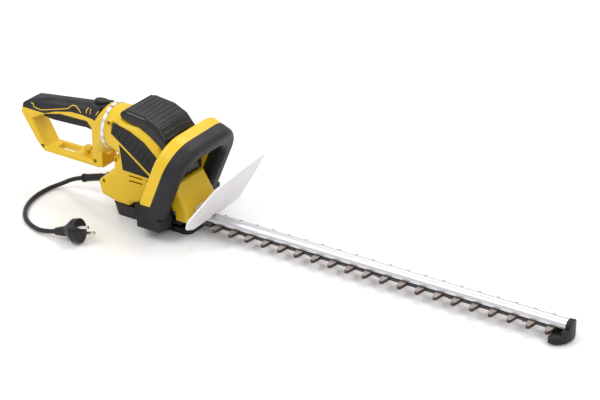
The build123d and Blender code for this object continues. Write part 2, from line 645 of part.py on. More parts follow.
# ------------------------------------------------------------------ rear handle
HANDLE_SIDE = [(-258, 118), (-253, 134), (-240, 142), (-201, 150), (-157, 156.5), (-128, 158.5),
               (-104, 161), (-104, 62), (-113, 60), (-216, 61), (-229, 74)]
OPENING_SIDE = [(-236, 111), (-213, 70), (-124, 70), (-117, 90), (-117, 116), (-131, 131.5),
                (-181, 131), (-212, 124)]
SOFT_LOW = [(-270, 127), (-245, 127), (-211, 126), (-190, 134), (-159, 141), (-138, 141),
            (-113, 138), (-97, 162), (-97, 190), (-270, 190)]
CORE_SIDE = [(-252, 120), (-247, 132), (-237, 138.5), (-201, 146.5), (-157, 153), (-128, 155),
             (-96, 158), (-96, 120), (-236, 120)]
GRIP_CAVITY = [(-222, 130), (-222, 137), (-160, 149), (-126, 151), (-126, 134), (-160, 134.2)]
BELL_X = SWIVEL_X - 2.3
CROWN_PLANE = Plane(origin=(-240, 0, 145), x_dir=(0, 1, 0), z_dir=(1, 0, 0.125)).offset(-22)
BUTTON_X, BUTTON_Z = -113.0, 160.0
HANDLE_SCREWS = [(-218.5, 70), (-118, 70)]

with BuildPart() as handle_form:
    with BuildSketch(Plane.XZ) as handle_outline:
        with BuildLine():
            Polyline(HANDLE_SIDE, close=True)
        make_face()
        fillet(handle_outline.vertices().sort_by(Axis.X)[:6], 6)
        with BuildLine():
            Polyline(OPENING_SIDE, close=True)
        make_face(mode=Mode.SUBTRACT)
    extrude(amount=GRIP_HALF, both=True)
    fillet(handle_form.faces().filter_by(Axis.Y).edges().filter_by(
        lambda e: e.center().X < -108), 3.8)
    with BuildSketch(Plane.YZ.offset(-122)):
        with Locations((0, 109.5)):
            RectangleRounded(2 * GRIP_HALF - 1.6, 95, 8)
    with BuildSketch(Plane.YZ.offset(BELL_X)):
        with Locations((0, SWIVEL_Z)):
            Circle(SWIVEL_R)
    loft()

# The top of the grip is crowned: all that is outside this long rounded bar is taken off.
with BuildPart() as crown:
    with BuildSketch(CROWN_PLANE):
        with Locations((0, -100)):
            RectangleRounded(2 * GRIP_HALF + 0.2, 200, 15.5)
    extrude(amount=143)
    with Locations((BELL_X - 13, 0, 110)):
        Box(34, 100, 140)
with BuildPart() as grip_form:
    add(handle_form.part)
    add(crown.part, mode=Mode.INTERSECT)

with BuildPart() as soft_region:
    with BuildSketch(Plane.XZ):
        with BuildLine():
            Polyline(SOFT_LOW, close=True)
        make_face()
    extrude(amount=60, both=True)
    with BuildSketch(Plane.XZ):
        with BuildLine():
            Polyline(CORE_SIDE, close=True)
        make_face()
    extrude(amount=GRIP_HALF - 3, both=True, mode=Mode.SUBTRACT)

with BuildPart() as button_hole:
    with BuildSketch(Plane.XY.offset(145)):
        with Locations((BUTTON_X, 0)):
            Ellipse(12 + FIT, 8 + FIT)
    extrude(amount=40)

with BuildPart() as handle_overmould:
    add(grip_form.part)
    add(soft_region.part, mode=Mode.INTERSECT)
    add(button_hole.part, mode=Mode.SUBTRACT)
finish(handle_overmould.part, "handle_overmould")

with BuildPart() as handle_core:
    add(grip_form.part)
    add(soft_region.part, mode=Mode.SUBTRACT)
    add(button_hole.part, mode=Mode.SUBTRACT)
    with BuildSketch(Plane.XZ):
        with BuildLine():
            Polyline(GRIP_CAVITY, close=True)
        make_face()
    extrude(amount=11, both=True, mode=Mode.SUBTRACT)
    with Locations((-171, 0, 126)):
        Box(104, 15, 30, mode=Mode.SUBTRACT)
    with BuildSketch(Plane.XY.offset(50)):
        with Locations((-180, 0)):
            RectangleRounded(36, 17, 3)
    extrude(amount=30, mode=Mode.SUBTRACT)
    with Locations((BELL_X - 9, 0, SWIVEL_Z)):
        Cylinder(18, 22, rotation=(0, 90, 0), mode=Mode.SUBTRACT)
    with BuildSketch(Plane.YZ.offset(BELL_X)):
        with Locations((0, SWIVEL_Z)):
            Circle(SWIVEL_R - 10.8)
            Circle(18, mode=Mode.SUBTRACT)
    extrude(amount=14)
    with BuildSketch(Plane.YZ.offset(SWIVEL_X + 8.4)):
        with Locations((0, SWIVEL_Z)):
            Circle(SWIVEL_R - 7.5)
            Circle(18, mode=Mode.SUBTRACT)
    extrude(amount=3.3)
    add(screw_room(HANDLE_SCREWS, GRIP_HALF - 4, 24), mode=Mode.SUBTRACT)
    with Locations((-146, 0, 75)):
        Box(6, 9, 14)
    with Locations((-141, 0, 80)):
        Box(10, 9, 5)
for name, keep in (("handle_right", Keep.TOP), ("handle_left", Keep.BOTTOM)):
    with BuildPart() as half:
        add(handle_core.part)
        split(bisect_by=Plane.XZ, keep=keep)
    finish(half.part, name)

TRIGGER_PIVOT = (-217.0, 120.5)
with BuildPart() as trigger:
    with BuildSketch(Plane.XZ) as trigger_outline:
        with BuildLine():
            Polyline([(-221, 116), (-205, 113.5), (-170, 114.5), (-139, 116), (-128, 114), (-123, 118),
                      (-123, 122), (-134, 128), (-180, 126.5), (-210, 124), (-220, 123)], close=True)
        make_face()
    extrude(amount=7, both=True)
finish(trigger.part, "trigger")

with BuildPart() as lock_button:
    with BuildSketch(Plane.XY.offset(BUTTON_Z - 9)):
        with Locations((BUTTON_X, 0)):
            Ellipse(12, 8)
    extrude(amount=15)
    fillet(lock_button.edges().sort_by(Axis.Z)[-1], 2.5)
finish(lock_button.part, "lock_button")

with BuildPart() as lock_spring:
    with Locations((BUTTON_X, 0, 146.4)):
        Cylinder(3.4, 4.3, align=MIN_UP)
        Cylinder(2.6, 4.3, align=MIN_UP, mode=Mode.SUBTRACT)
finish(lock_spring.part, "lock_spring")

with BuildPart() as trigger_switch:
    with Locations((-144, 0, 142)):
        Box(24, 14, 11)
    with Locations((-150, 0, 136)):
        Box(5, 4, 3)
finish(trigger_switch.part, "trigger_switch")

with BuildPart() as trigger_spring:
    with BuildSketch(Plane.XZ):
        with BuildLine():
            Polyline([(-220, 130), (-220, 129.2), (-199, 128.8), (-176, 132.2), (-176, 133), (-199, 129.6)],
                     close=True)
        make_face()
    extrude(amount=3, both=True)
finish(trigger_spring.part, "trigger_spring")


for places, head_y, long, name in ((HANDLE_SCREWS, GRIP_HALF - 4, 24, "handle_screws"),
                                   (HOUSING_SCREWS, BODY_HALF - 10, 38, "housing_screws")):
    with BuildPart() as screws:
        add(screw_group(places, head_y, long))
        with BuildSketch(Plane.XZ.offset(head_y)):
            with Locations(places):
                RegularPolygon(1.5, 6)
        extrude(amount=-1.2, mode=Mode.SUBTRACT)
    finish(screws.part, name)

with BuildPart() as base_screws:
    with Locations(*[(x, y, 0.8) for x, y in BASE_SCREWS]):
        Cylinder(3.6, 2.6, align=MIN_UP)
        Cylinder(2, 26.4, align=MIN_UP)
finish(base_screws.part, "base_screws")

with BuildPart() as guard_screws:
    with BuildSketch(Plane.YZ.offset(69.2)):
        with Locations(GUARD_SCREWS):
            Circle(3.6)
    extrude(amount=2.2)
    with BuildSketch(Plane.YZ.offset(60)):
        with Locations(GUARD_SCREWS):
            Circle(2)
    extrude(amount=9.2)
finish(guard_screws.part, "guard_screws")

# ------------------------------------------------------------------ electrics in the housing
with BuildPart() as capacitor:
    with Locations((-62, 0, 118)):
        Box(16, 26, 14)
    fillet(capacitor.edges().filter_by(Axis.Y), 2)
finish(capacitor.part, "capacitor")

with BuildPart() as terminal_block:
    with Locations((-66, 0, 62)):
        Box(12, 30, 16)
    with Locations(*[(-66, y, 70) for y in (-9, 0, 9)]):
        Cylinder(2.4, 6, mode=Mode.SUBTRACT)
finish(terminal_block.part, "terminal_block")

# ------------------------------------------------------------------ mains cord
BOOT_TIP = (-156.0, 0.0, 24.5)
ROUTE = [BOOT_TIP, (-175, 0, 18.61), (-194, -6, 7.6), (-205, -23, 4.2), (-207, -49, 3.6),
         (-202, -76, 3.6), (-190, -101, 3.6), (-171, -123, 3.6), (-147, -136, 3.6),
         (-120.15, -142.55, 5.78), (-100, -139, 10.5)]


def route_radii(points):
    """Largest arc that fits each corner of the route."""
    radii = []
    for before, here, after in zip(points, points[1:], points[2:]):
        run_in, run_out = Vector(*here) - Vector(*before), Vector(*after) - Vector(*here)
        turn = radians(run_in.get_angle(run_out))
        radii.append(0.45 * min(run_in.length, run_out.length) / tan(turn / 2))
    return radii


radii = route_radii(ROUTE)
print("cord radii", [round(radius) for radius in radii])
with BuildPart() as cord:
    with BuildLine() as cord_path:
        FilletPolyline(*ROUTE, radius=radii)
    with BuildSketch(Plane(origin=cord_path.line @ 0, z_dir=cord_path.line % 0)):
        Circle(CORD_R)
    sweep()
cord_long = sum(edge.length for edge in cord_path.edges())
print("cord length", round(cord_long, 1),
      "volume ratio", round(cord.part.volume / (pi * CORD_R**2 * cord_long), 4))
finish(cord.part, "cord")

BOOT_JOIN = Vector(-106, 0, BOOT_Z)     # where the sloping boot leaves its level root
BOOT_RUN = BOOT_JOIN - Vector(*BOOT_TIP)
with BuildPart() as cord_boot:
    with BuildSketch(Plane(origin=BOOT_TIP, z_dir=BOOT_RUN)):
        Circle(5.2)
    extrude(amount=BOOT_RUN.length + 4)
    with BuildSketch(Plane(origin=BOOT_TIP, z_dir=BOOT_RUN)):
        Circle(6.6)
    extrude(amount=3)
    with Locations((-97, 0, BOOT_Z)):
        Cylinder(BOOT_R, 26, rotation=(0, 90, 0))
finish(cord_boot.part, "cord_boot")

yaw, pitch, roll = radians(PLUG_YAW), radians(PLUG_PITCH), radians(PLUG_ROLL)
PLUG_AXIS = Vector(cos(yaw) * cos(pitch), sin(yaw) * cos(pitch), sin(pitch))
ACROSS = Vector(-sin(yaw), cos(yaw), 0)
PLUG_PLANE = Plane(origin=ROUTE[-1], z_dir=PLUG_AXIS,
                   x_dir=ACROSS * cos(roll) - PLUG_AXIS.cross(ACROSS) * sin(roll))
with BuildPart() as plug_body:
    with BuildSketch(PLUG_PLANE):
        Circle(5.2)
    with BuildSketch(PLUG_PLANE.offset(PLUG_NECK)):
        Ellipse(11, 8)
    loft()
    with BuildSketch(PLUG_PLANE.offset(PLUG_NECK - 6)):
        Ellipse(11, 8)
    with BuildSketch(PLUG_PLANE.offset(PLUG_NECK + 6)):
        Circle(PLUG_HEAD_R)
    loft()
    with BuildSketch(PLUG_PLANE.offset(PLUG_NECK + 6)):
        Circle(PLUG_HEAD_R)
    extrude(amount=PLUG_HEAD - 6)
    with BuildSketch(PLUG_PLANE.offset(PLUG_NECK + PLUG_HEAD - 4)):
        with GridLocations(PIN_PITCH, 0, 2, 1):
            Circle(PIN_ROOT_R + SEAT)
    extrude(amount=6, mode=Mode.SUBTRACT)
finish(plug_body.part, "plug_body")

with BuildPart() as plug_pins:
    with BuildSketch(PLUG_PLANE.offset(PLUG_NECK + PLUG_HEAD - 4)):
        with GridLocations(PIN_PITCH, 0, 2, 1):
            Circle(PIN_ROOT_R)
    extrude(amount=4)
    with BuildSketch(PLUG_PLANE.offset(PLUG_NECK + PLUG_HEAD)):
        with GridLocations(PIN_PITCH, 0, 2, 1):
            Circle(PIN_R)
    extrude(amount=PIN_LONG)
finish(plug_pins.part, "plug_pins")
print("pins", [PLUG_PLANE.offset(PLUG_NECK + PLUG_HEAD).from_local_coords((x, 0, 0))
               for x in (-PIN_PITCH / 2, PIN_PITCH / 2)], "axis", PLUG_AXIS)
print("plug low", plug_body.part.bounding_box().min.Z, "parts", len(made))
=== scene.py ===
import bpy
import json
from math import atan2, cos, radians, sin
from mathutils import Matrix, Vector

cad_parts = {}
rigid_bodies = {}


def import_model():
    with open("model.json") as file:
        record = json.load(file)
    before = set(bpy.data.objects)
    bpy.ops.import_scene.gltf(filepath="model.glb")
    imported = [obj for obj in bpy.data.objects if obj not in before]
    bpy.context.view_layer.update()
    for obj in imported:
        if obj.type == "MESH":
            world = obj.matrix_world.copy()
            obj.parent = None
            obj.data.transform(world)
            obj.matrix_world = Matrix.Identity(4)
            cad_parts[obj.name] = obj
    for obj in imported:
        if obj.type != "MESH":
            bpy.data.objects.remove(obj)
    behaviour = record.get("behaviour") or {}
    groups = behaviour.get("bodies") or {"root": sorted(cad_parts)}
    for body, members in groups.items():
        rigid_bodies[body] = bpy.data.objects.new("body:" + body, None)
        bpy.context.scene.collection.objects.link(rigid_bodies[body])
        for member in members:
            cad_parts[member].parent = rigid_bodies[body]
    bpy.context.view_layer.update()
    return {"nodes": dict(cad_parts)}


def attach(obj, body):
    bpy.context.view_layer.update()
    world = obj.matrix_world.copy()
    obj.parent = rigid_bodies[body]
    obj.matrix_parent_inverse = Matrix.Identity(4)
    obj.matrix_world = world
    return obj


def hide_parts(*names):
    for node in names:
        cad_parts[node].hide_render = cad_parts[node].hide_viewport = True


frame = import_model()
nodes = frame["nodes"]
scene = bpy.context.scene

# ---------------------------------------------------------------- camera
CAMERA_PLACE = (1.4652, -1.9719, 1.2792)
CAMERA_LENS = 110.975
azimuth, elevation, tilt = radians(31.991), radians(27.031), radians(0.185)
back = Vector((sin(azimuth) * cos(elevation), -cos(azimuth) * cos(elevation), sin(elevation)))
level = Vector((cos(azimuth), sin(azimuth), 0))
raised = back.cross(level)
across = level * cos(tilt) + raised * sin(tilt)
upward = raised * cos(tilt) - level * sin(tilt)
camera = bpy.data.objects.new("camera", bpy.data.cameras.new("camera"))
scene.collection.objects.link(camera)
camera.matrix_world = Matrix((
    (across.x, upward.x, back.x, CAMERA_PLACE[0]),
    (across.y, upward.y, back.y, CAMERA_PLACE[1]),
    (across.z, upward.z, back.z, CAMERA_PLACE[2]),
    (0, 0, 0, 1)))
camera.data.lens = CAMERA_LENS
camera.data.sensor_width = 36
camera.data.clip_end = 50
scene.camera = camera
scene.view_settings.view_transform = "Standard"

# ---------------------------------------------------------------- mains cord
CORD_EXIT = (-0.156, 0.0, 0.0245)
CORD_RADIUS = 0.0035
CORD_ROUTE = [CORD_EXIT, (-0.175, 0.0, 0.01861), (-0.194, -0.006, 0.0076), (-0.205, -0.023, 0.0042),
              (-0.207, -0.049, 0.0036), (-0.202, -0.076, 0.0036), (-0.190, -0.101, 0.0036),
              (-0.171, -0.123, 0.0036), (-0.147, -0.136, 0.0036), (-0.12015, -0.14255, 0.00578),
              (-0.100, -0.139, 0.0105)]
cord_line = bpy.data.curves.new("mains_cord", "CURVE")
cord_line.dimensions = "3D"
cord_spline = cord_line.splines.new("NURBS")
cord_spline.points.add(len(CORD_ROUTE) - 1)
for point, spot in zip(cord_spline.points, CORD_ROUTE):
    point.co = (*spot, 1)
cord_spline.order_u = 3
cord_spline.use_endpoint_u = True
cord_spline.resolution_u = 12
cord_line.bevel_depth = CORD_RADIUS
cord_line.bevel_resolution = 5
cord_line.use_fill_caps = True
mains_cord = bpy.data.objects.new("mains_cord", cord_line)
scene.collection.objects.link(mains_cord)


# ---------------------------------------------------------------- shared surface effects
EDGE_SAMPLES = 4


def effect(name, inputs, outputs):
    """A node group with named float inputs and the outputs asked for."""
    group = bpy.data.node_groups.new(name, "ShaderNodeTree")
    for label, value in inputs:
        socket = group.interface.new_socket(label, in_out="INPUT", socket_type="NodeSocketFloat")
        socket.default_value = value
    for label, kind in outputs:
        group.interface.new_socket(label, in_out="OUTPUT", socket_type=kind)
    return group, group.nodes.new("NodeGroupInput"), group.nodes.new("NodeGroupOutput")


def math_node(tree, operation, first, second=None):
    """One Math node; sockets are linked and numbers are set."""
    node = tree.nodes.new("ShaderNodeMath")
    node.operation = operation
    for slot, value in zip(node.inputs, (first, second)):
        if isinstance(value, bpy.types.NodeSocket):
            tree.links.new(value, slot)
        elif value is not None:
            slot.default_value = value
    return node.outputs[0]


def noise_node(tree, coordinate, scale, detail=4.0):
    """Noise at a coordinate, as a value from about 0.3 to 0.7."""
    node = tree.nodes.new("ShaderNodeTexNoise")
    tree.links.new(coordinate, node.inputs["Vector"])
    if isinstance(scale, bpy.types.NodeSocket):
        tree.links.new(scale, node.inputs["Scale"])
    else:
        node.inputs["Scale"].default_value = scale
    node.inputs["Detail"].default_value = detail
    return node.outputs["Fac"]


def clamp_range(tree, value, low, high, to_low=0.0, to_high=1.0):
    """Stretches low..high to to_low..to_high and holds the ends."""
    node = tree.nodes.new("ShaderNodeMapRange")
    tree.links.new(value, node.inputs["Value"])
    limits = (("From Min", low), ("From Max", high), ("To Min", to_low), ("To Max", to_high))
    for label, number in limits:
        node.inputs[label].default_value = number
    return node.outputs["Result"]


def mix_colour(tree, mask, first, second):
    """The first colour where the mask is 0, the second where it is 1."""
    node = tree.nodes.new("ShaderNodeMix")
    node.data_type = "RGBA"
    for label, value in (("Factor", mask), ("A", first), ("B", second)):
        slot = node.inputs[label]
        if isinstance(value, bpy.types.NodeSocket):
            tree.links.new(value, slot)
        else:
            slot.default_value = value
    return node.outputs["Result"]


fine_grain, grain_in, grain_out = effect(
    "fine_grain", [("Scale", 900.0), ("Depth", 0.2), ("Rounding", 0.0008)],
    [("Normal", "NodeSocketVector")])
grain_place = fine_grain.nodes.new("ShaderNodeTexCoord").outputs["Object"]
soft_edge = fine_grain.nodes.new("ShaderNodeBevel")
soft_edge.samples = EDGE_SAMPLES
bump = fine_grain.nodes.new("ShaderNodeBump")
bump.inputs["Distance"].default_value = 0.0003
fine_grain.links.new(grain_in.outputs["Rounding"], soft_edge.inputs["Radius"])
fine_grain.links.new(grain_in.outputs["Depth"], bump.inputs["Strength"])
fine_grain.links.new(noise_node(fine_grain, grain_place, grain_in.outputs["Scale"], 3.0),
                     bump.inputs["Height"])
fine_grain.links.new(soft_edge.outputs["Normal"], bump.inputs["Normal"])
fine_grain.links.new(bump.outputs["Normal"], grain_out.inputs["Normal"])

edge_rub, rub_in, rub_out = effect(
    "edge_rub", [("Width", 0.0012), ("Amount", 0.5)], [("Mask", "NodeSocketFloat")])
rub_place = edge_rub.nodes.new("ShaderNodeTexCoord").outputs["Object"]
round_off = edge_rub.nodes.new("ShaderNodeBevel")
round_off.samples = EDGE_SAMPLES
edge_rub.links.new(rub_in.outputs["Width"], round_off.inputs["Radius"])
facing = edge_rub.nodes.new("ShaderNodeVectorMath")
facing.operation = "DOT_PRODUCT"
edge_rub.links.new(round_off.outputs["Normal"], facing.inputs[0])
true_face = edge_rub.nodes.new("ShaderNodeNewGeometry")
edge_rub.links.new(true_face.outputs["Normal"], facing.inputs[1])
edge = clamp_range(edge_rub, facing.outputs["Value"], 0.99, 0.8)
patchy = clamp_range(edge_rub, noise_node(edge_rub, rub_place, 90.0), 0.4, 0.62)
rubbed = math_node(edge_rub, "MULTIPLY", edge, patchy)
edge_rub.links.new(math_node(edge_rub, "MULTIPLY", rubbed, rub_in.outputs["Amount"]),
                   rub_out.inputs["Mask"])

settled_dust, dust_in, dust_out = effect(
    "settled_dust", [("Amount", 0.1)], [("Mask", "NodeSocketFloat")])
lie = settled_dust.nodes.new("ShaderNodeTexCoord")
split_lie = settled_dust.nodes.new("ShaderNodeSeparateXYZ")
settled_dust.links.new(lie.outputs["Normal"], split_lie.inputs[0])
level_faces = clamp_range(settled_dust, split_lie.outputs["Z"], 0.1, 1.0)
specks = clamp_range(
    settled_dust, noise_node(settled_dust, lie.outputs["Object"], 60.0, 8.0), 0.42, 0.75)
lying = math_node(settled_dust, "MULTIPLY", level_faces, specks)
settled_dust.links.new(math_node(settled_dust, "MULTIPLY", lying, dust_in.outputs["Amount"]),
                       dust_out.inputs["Mask"])


def use_effect(tree, group, **values):
    """Places a shared effect in a material with its own values."""
    node = tree.nodes.new("ShaderNodeGroup")
    node.node_tree = group
    for label, value in values.items():
        node.inputs[label].default_value = value
    return node.outputs[0]


def new_finish(name):
    """A material with its tree, its shader and its Object coordinate."""
    material = bpy.data.materials.new(name)
    material.use_nodes = True
    tree = material.node_tree
    place = tree.nodes.new("ShaderNodeTexCoord").outputs["Object"]
    return material, tree, tree.nodes["Principled BSDF"], place


DUST_COLOUR = (0.5, 0.48, 0.44, 1)


def moulded(name, colour, rough, scale, depth, rub=0.2, dust=0.05, shift=0.08, specular=0.5):
    """Moulded plastic or rubber: a slight shift of tone, grain, rubbed edges and a little dust."""
    material, tree, shader, place = new_finish(name)
    darker = tuple(part * (1 - shift) for part in colour)
    lighter = tuple(min(1, part * 1.25 + 0.03) for part in colour)
    drift = clamp_range(tree, noise_node(tree, place, 14.0), 0.35, 0.65)
    tone = mix_colour(tree, drift, (*darker, 1), (*colour, 1))
    rubbing = use_effect(tree, edge_rub, Width=0.0012, Amount=rub)
    worn = mix_colour(tree, rubbing, tone, (*lighter, 1))
    dusty = mix_colour(tree, use_effect(tree, settled_dust, Amount=dust), worn, DUST_COLOUR)
    tree.links.new(dusty, shader.inputs["Base Color"])
    sheen = noise_node(tree, place, 35.0, 6.0)
    tree.links.new(clamp_range(tree, sheen, 0.3, 0.7, rough - 0.05, rough + 0.07),
                   shader.inputs["Roughness"])
    tree.links.new(use_effect(tree, fine_grain, Scale=scale, Depth=depth, Rounding=0.0009),
                   shader.inputs["Normal"])
    shader.inputs["Specular IOR Level"].default_value = specular
    return material


def metal(name, colour, rough, stretch, depth, rub=0.3, dark=0.75):
    """Worked metal: fine lines drawn out by the Mapping node, brighter rubbed edges."""
    material, tree, shader, place = new_finish(name)
    drawn = tree.nodes.new("ShaderNodeMapping")
    drawn.inputs["Scale"].default_value = stretch
    tree.links.new(place, drawn.inputs["Vector"])
    lines = noise_node(tree, drawn.outputs["Vector"], 1.0, 5.0)
    shade = tuple(part * dark for part in colour)
    tone = mix_colour(tree, clamp_range(tree, lines, 0.35, 0.65), (*shade, 1), (*colour, 1))
    bright = tuple(min(1, part * 1.4) for part in colour)
    rubbing = use_effect(tree, edge_rub, Width=0.0006, Amount=rub)
    tree.links.new(mix_colour(tree, rubbing, tone, (*bright, 1)), shader.inputs["Base Color"])
    shader.inputs["Metallic"].default_value = 1.0
    tree.links.new(clamp_range(tree, lines, 0.3, 0.7, rough - 0.06, rough + 0.1),
                   shader.inputs["Roughness"])
    ridge = tree.nodes.new("ShaderNodeBump")
    ridge.inputs["Strength"].default_value = depth
    ridge.inputs["Distance"].default_value = 0.0001
    tree.links.new(lines, ridge.inputs["Height"])
    tree.links.new(use_effect(tree, fine_grain, Scale=700.0, Depth=0.03, Rounding=0.0004),
                   ridge.inputs["Normal"])
    tree.links.new(ridge.outputs["Normal"], shader.inputs["Normal"])
    return material


yellow_shell = moulded("yellow_shell", colour=(0.74, 0.48, 0.006), rough=0.36, scale=1500.0, depth=0.05,
                       rub=0.12, dust=0.02, shift=0.06)
black_shell = moulded("black_shell", colour=(0.009, 0.008, 0.009), rough=0.42, scale=1100.0, depth=0.2,
                      rub=0.25, dust=0.015, specular=0.3)
soft_grip = moulded("soft_grip", colour=(0.014, 0.014, 0.017), rough=0.5, scale=800.0, depth=0.4,
                    rub=0.1, dust=0.02, specular=0.32)
glossy_cover = moulded("glossy_cover", colour=(0.007, 0.006, 0.007), rough=0.25, scale=1400.0,
                       depth=0.08, rub=0.2, dust=0.015, specular=0.4)
cord_rubber = moulded("cord_rubber", colour=(0.008, 0.008, 0.009), rough=0.36, scale=900.0, depth=0.1,
                      rub=0.0, dust=0.02, specular=0.35)
pale_plastic = moulded("pale_plastic", colour=(0.62, 0.63, 0.63), rough=0.4, scale=1200.0, depth=0.06,
                       shift=0.04)
yellow_line = moulded("yellow_line", colour=(0.80, 0.52, 0.02), rough=0.45, scale=900.0, depth=0.1,
                      rub=0.0, dust=0.0)
drawn_rail = metal("drawn_rail", colour=(0.70, 0.70, 0.73), rough=0.33,
                   stretch=(3.0, 500.0, 500.0), depth=0.06, dark=0.93)
pin_nickel = metal("pin_nickel", colour=(0.78, 0.77, 0.74), rough=0.18,
                   stretch=(400.0, 60.0, 60.0), depth=0.08)
screw_zinc = metal("screw_zinc", colour=(0.30, 0.30, 0.31), rough=0.35,
                   stretch=(500.0, 500.0, 500.0), depth=0.2)
cut_gear = metal("cut_gear", colour=(0.46, 0.46, 0.47), rough=0.32,
                 stretch=(300.0, 300.0, 40.0), depth=0.2)
laminated_iron = metal("laminated_iron", colour=(0.22, 0.22, 0.23), rough=0.5,
                       stretch=(20.0, 20.0, 2500.0), depth=0.6)
enamel_copper = metal("enamel_copper", colour=(0.75, 0.33, 0.14), rough=0.3,
                      stretch=(60.0, 60.0, 2000.0), depth=0.8)
cast_carrier = metal("cast_carrier", colour=(0.60, 0.61, 0.62), rough=0.48,
                     stretch=(250.0, 250.0, 250.0), depth=0.5)
bronze_ring = metal("bronze_ring", colour=(0.58, 0.40, 0.17), rough=0.38,
                    stretch=(200.0, 200.0, 900.0), depth=0.3)



def ground_blade():
    """The blades: ground top and bottom faces with a brown bloom, cut faces dark."""
    material, tree, shader, place = new_finish("blade_steel")
    facets = tree.nodes.new("ShaderNodeSeparateXYZ")
    tree.links.new(tree.nodes["Texture Coordinate"].outputs["Normal"], facets.inputs[0])
    flat_face = clamp_range(tree, math_node(tree, "ABSOLUTE", facets.outputs["Z"]), 0.3, 0.8)
    bloom = clamp_range(tree, noise_node(tree, place, 55.0, 6.0), 0.35, 0.7)
    ground = mix_colour(tree, bloom, (0.34, 0.285, 0.265, 1), (0.21, 0.155, 0.135, 1))
    steel = mix_colour(tree, flat_face, (0.055, 0.045, 0.04, 1), ground)
    tree.links.new(steel, shader.inputs["Base Color"])
    tree.links.new(clamp_range(tree, bloom, 0.0, 1.0, 0.34, 0.55), shader.inputs["Roughness"])
    shader.inputs["Metallic"].default_value = 0.35
    tree.links.new(use_effect(tree, fine_grain, Scale=500.0, Depth=0.12, Rounding=0.0005),
                   shader.inputs["Normal"])
    return material


SKIN_COLOUR = (0.014, 0.014, 0.017, 1)
SKIN_RISE, SKIN_HEIGHT, SKIN_END = 0.135, 0.1664, -0.117


def core_under_skin(shell):
    """The shell's finish, with the core inside the soft skin as dark as the skin."""
    material = shell.copy()
    material.name = "wrapped_shell"
    tree = material.node_tree
    shader = tree.nodes["Principled BSDF"]
    spot = tree.nodes.new("ShaderNodeSeparateXYZ")
    tree.links.new(tree.nodes["Texture Coordinate"].outputs["Object"], spot.inputs[0])
    rise = math_node(tree, "MULTIPLY", spot.outputs["X"], SKIN_RISE)
    skin_line = math_node(tree, "ADD", rise, SKIN_HEIGHT)
    in_skin = math_node(tree, "MULTIPLY",
                        math_node(tree, "GREATER_THAN", spot.outputs["Z"], skin_line),
                        math_node(tree, "LESS_THAN", spot.outputs["X"], SKIN_END))
    shell_colour = shader.inputs["Base Color"].links[0].from_socket
    tree.links.new(mix_colour(tree, in_skin, shell_colour, SKIN_COLOUR), shader.inputs["Base Color"])
    return material


SWIVEL_MIDDLE = (-0.089, 0.0, 0.130)
RING_MARKS = 17.0


def ring_with_marks():
    """Swivel ring: pale with a row of grey marks round it."""
    material, tree, shader, place = new_finish("marked_ring")
    centred = tree.nodes.new("ShaderNodeMapping")
    centred.inputs["Location"].default_value = tuple(-part for part in SWIVEL_MIDDLE)
    tree.links.new(place, centred.inputs["Vector"])
    spot = tree.nodes.new("ShaderNodeSeparateXYZ")
    tree.links.new(centred.outputs["Vector"], spot.inputs[0])
    round_angle = math_node(tree, "ARCTAN2", spot.outputs["Y"], spot.outputs["Z"])
    wave = math_node(tree, "SINE", math_node(tree, "MULTIPLY", round_angle, RING_MARKS))
    marks = clamp_range(tree, wave, 0.25, 0.4)
    cloud = clamp_range(tree, noise_node(tree, place, 40.0), 0.35, 0.6)
    tree.links.new(mix_colour(tree, math_node(tree, "MULTIPLY", marks, cloud),
                              (0.74, 0.74, 0.73, 1), (0.26, 0.27, 0.28, 1)),
                   shader.inputs["Base Color"])
    tree.links.new(clamp_range(tree, cloud, 0.0, 1.0, 0.28, 0.4), shader.inputs["Roughness"])
    tree.links.new(use_effect(tree, fine_grain, Scale=900.0, Depth=0.06, Rounding=0.0008),
                   shader.inputs["Normal"])
    return material


blade_steel = ground_blade()

# Milky guard: lets a little of what is behind it through.
milky_guard = moulded("milky_guard", colour=(0.86, 0.83, 0.84), rough=0.33, scale=700.0, depth=0.06,
                      rub=0.0, dust=0.04, shift=0.03)
milky_guard.node_tree.nodes["Principled BSDF"].inputs["Alpha"].default_value = 0.86

wrapped_shell = core_under_skin(yellow_shell)
marked_ring = ring_with_marks()

FINISHES = {
    yellow_shell: ["housing_right", "housing_left", "gearbox_nose", "loop_back"],
    wrapped_shell: ["handle_right", "handle_left"],
    # wear_strip is a thin black strip along the rail's lower edge: partly the rail's own dark side,
    # partly painted shadow cast by the rail onto the teeth
    black_shell: ["vent_panel_right", "vent_panel_left", "label_panel_right", "label_panel_left",
                  "base_shell", "switch_bar", "wear_strip", "tip_guard", "motor_fan",
                  "motor_bracket", "trigger", "lock_button", "trigger_switch", "carbon_brushes"],
    glossy_cover: ["top_cover"],
    soft_grip: ["loop_grip", "handle_overmould"],
    marked_ring: ["swivel_ring"],
    pale_plastic: ["capacitor", "terminal_block"],
    milky_guard: ["hand_guard"],
    drawn_rail: ["guide_rail"],
    blade_steel: ["upper_blade", "lower_blade"],
    screw_zinc: ["blade_bolts", "blade_nuts", "handle_screws", "housing_screws", "base_screws",
                 "guard_screws"],
    cut_gear: ["crank_gear", "lock_spring", "trigger_spring"],
    laminated_iron: ["armature", "motor_stator"],
    enamel_copper: ["field_windings"],
    cast_carrier: ["gear_plate"],
    bronze_ring: ["gear_bearings", "top_bearing", "brush_holders"],
    cord_rubber: ["cord_boot", "plug_body"],
    pin_nickel: ["plug_pins"],
}
for finish, names in FINISHES.items():
    for name in names:
        for slot in nodes[name].material_slots:
            slot.material = finish
cord_line.materials.append(cord_rubber)


# ---------------------------------------------------------------- modelling helpers
def deselect():
    """Lets go of everything, as an operator acts on all that is selected."""
    for thing in bpy.context.view_layer.objects.selected:
        thing.select_set(False)


